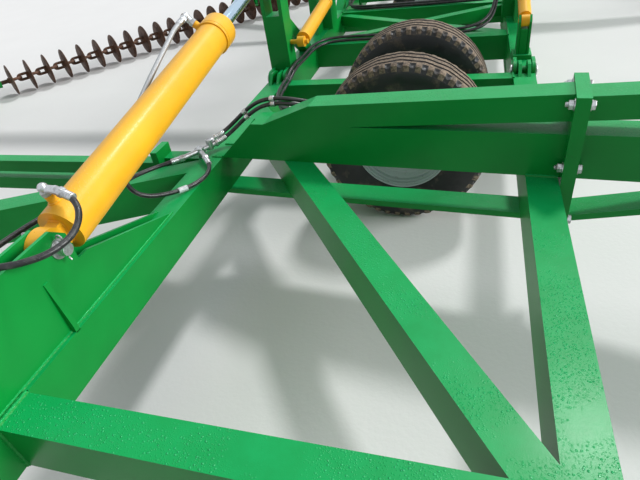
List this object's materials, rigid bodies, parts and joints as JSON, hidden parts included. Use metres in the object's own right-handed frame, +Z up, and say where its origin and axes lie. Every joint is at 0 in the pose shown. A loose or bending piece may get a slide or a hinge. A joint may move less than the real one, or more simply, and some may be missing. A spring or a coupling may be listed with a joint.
{
  "type": "disc chain harrow",
  "caption": "Trailed harrow: rotating chains of discs in a diamond round a box-section frame, on wheels, with wings that fold on hydraulic cylinders.",
  "frame": {"origin": "middle of the machine's length and width, on the ground", "axes": "+X forward to the hitch eye, +Y to the machine's left, +Z up"},
  "size_m": [13.68, 14.9464, 1.5],
  "materials": {
    "green_paint": "gloss, wet",
    "yellow_paint": "gloss",
    "chrome": "polished",
    "tyre": "matt",
    "rim_paint": "satin",
    "disc_steel": "rusty",
    "hose": "satin",
    "zinc": "satin plated"
  },
  "bodies": {
    "centre": {"rear_cross_beam": "green_paint", "front_cross_beam": "green_paint", "centre_struts": "green_paint", "centre_brace": "green_paint", "rear_posts": "green_paint", "king_posts": "green_paint", "backbone": "green_paint", "rear_apex_leg": "green_paint", "front_apex_leg": "green_paint", "drawbar": "green_paint", "jack_tube": "green_paint", "rockshaft": "green_paint", "hitch_eye": "disc_steel", "near_wheel_arm": "green_paint", "far_wheel_arm": "green_paint", "link_cylinders": "yellow_paint", "centre_hoses": "hose"},
    "jack": {"jack_leg": "zinc"},
    "near_wheels": {"near_tyres": "tyre", "near_rims": "rim_paint"},
    "near_wing": {"near_rear_arm": "green_paint", "near_front_arm": "green_paint", "near_inner_chord": "green_paint", "near_outer_struts": "green_paint", "near_diagonal": "green_paint", "near_girder": "green_paint", "near_lower_chord": "green_paint", "near_front_outrigger": "green_paint", "near_rear_outrigger": "green_paint", "near_rear_chords": "green_paint", "near_tip_beam": "green_paint", "near_hoses": "hose"},
    "near_castor": {"near_castor_fork": "green_paint"},
    "near_tip_wheel": {"near_tip_tyre": "tyre", "near_tip_rim": "rim_paint"},
    "near_barrel": {"near_fold_barrel": "yellow_paint"},
    "near_rod": {"near_fold_rod": "chrome"},
    "far_wheels": {"far_tyres": "tyre", "far_rims": "rim_paint"},
    "far_wing": {"far_rear_arm": "green_paint", "far_front_arm": "green_paint", "far_inner_chord": "green_paint", "far_outer_struts": "green_paint", "far_diagonal": "green_paint", "far_girder": "green_paint", "far_lower_chord": "green_paint", "far_front_outrigger": "green_paint", "far_rear_outrigger": "green_paint", "far_rear_chords": "green_paint", "far_tip_beam": "green_paint", "far_hoses": "hose"},
    "far_castor": {"far_castor_fork": "green_paint"},
    "far_tip_wheel": {"far_tip_tyre": "tyre", "far_tip_rim": "rim_paint"},
    "far_barrel": {"far_fold_barrel": "yellow_paint"},
    "far_rod": {"far_fold_rod": "chrome"},
    "rear_near_chain": {"rear_near_disc_chain": "disc_steel"},
    "rear_far_chain": {"rear_far_disc_chain": "disc_steel"},
    "front_near_chain": {"front_near_disc_chain": "disc_steel"},
    "front_far_chain": {"front_far_disc_chain": "disc_steel"}
  },
  "joints": [
    {"name": "near_fold", "type": "hinge", "parent": "centre", "child": "near_wing", "pos_m": [0, -1.36, 0.72], "axis": [-1, 0, 0], "range_deg": [0, 72]},
    {"name": "near_barrel_pivot", "type": "hinge", "parent": "near_wing", "child": "near_barrel", "pos_m": [-2.045, -3.7, 1], "axis": [-1, 0, 0], "range_deg": [0, 7.2]},
    {"name": "near_rod_slide", "type": "slide", "parent": "near_barrel", "child": "near_rod", "axis": [0, 0.9861, 0.1663], "range_m": [-0.82, 0]},
    {"name": "near_wheel_spin", "type": "hinge", "parent": "centre", "child": "near_wheels", "pos_m": [-1.08, -1.555, 0.505], "axis": [0, 1, 0], "continuous": true},
    {"name": "near_castor_swivel", "type": "hinge", "parent": "near_wing", "child": "near_castor", "pos_m": [-1.215, -6.95, 0.6], "axis": [0, 0, 1], "continuous": true},
    {"name": "near_tip_wheel_spin", "type": "hinge", "parent": "near_castor", "child": "near_tip_wheel", "pos_m": [-1.355, -6.95, 0.24], "axis": [0, 1, 0], "continuous": true},
    {"name": "far_fold", "type": "hinge", "parent": "centre", "child": "far_wing", "pos_m": [0, 1.36, 0.72], "axis": [1, 0, 0], "range_deg": [0, 72]},
    {"name": "far_barrel_pivot", "type": "hinge", "parent": "far_wing", "child": "far_barrel", "pos_m": [-2.045, 3.7, 1], "axis": [1, 0, 0], "range_deg": [0, 7.2]},
    {"name": "far_rod_slide", "type": "slide", "parent": "far_barrel", "child": "far_rod", "axis": [0, -0.9861, 0.1663], "range_m": [-0.82, 0]},
    {"name": "far_wheel_spin", "type": "hinge", "parent": "centre", "child": "far_wheels", "pos_m": [-1.08, 1.555, 0.505], "axis": [0, 1, 0], "continuous": true},
    {"name": "far_castor_swivel", "type": "hinge", "parent": "far_wing", "child": "far_castor", "pos_m": [-1.215, 6.95, 0.6], "axis": [0, 0, 1], "continuous": true},
    {"name": "far_tip_wheel_spin", "type": "hinge", "parent": "far_castor", "child": "far_tip_wheel", "pos_m": [-1.355, 6.95, 0.24], "axis": [0, 1, 0], "continuous": true},
    {"name": "rear_near_chain_spin", "type": "hinge", "parent": "centre", "child": "rear_near_chain", "pos_m": [-6.6465, -0.305, 0.2], "axis": [0.5735, -0.8192, 0], "continuous": true},
    {"name": "rear_far_chain_spin", "type": "hinge", "parent": "centre", "child": "rear_far_chain", "pos_m": [-6.6465, 0.305, 0.2], "axis": [0.5735, 0.8192, 0], "continuous": true},
    {"name": "front_near_chain_spin", "type": "hinge", "parent": "centre", "child": "front_near_chain", "pos_m": [3.92266, -0.305, 0.2], "axis": [-0.5432, -0.8396, 0], "continuous": true},
    {"name": "front_far_chain_spin", "type": "hinge", "parent": "centre", "child": "front_far_chain", "pos_m": [3.92266, 0.305, 0.2], "axis": [-0.5432, 0.8396, 0], "continuous": true},
    {"name": "jack_slide", "type": "slide", "parent": "centre", "child": "jack", "axis": [0, 0, 1], "range_m": [0, 0.35]}
  ],
  "couplings": [
    {"joint": "near_barrel_pivot", "follows": "near_fold", "ratio": 0.096478},
    {"joint": "near_rod_slide", "follows": "near_fold", "m_per_rad": -0.63881},
    {"joint": "far_barrel_pivot", "follows": "far_fold", "ratio": 0.096478},
    {"joint": "far_rod_slide", "follows": "far_fold", "m_per_rad": -0.63881}
  ]
}
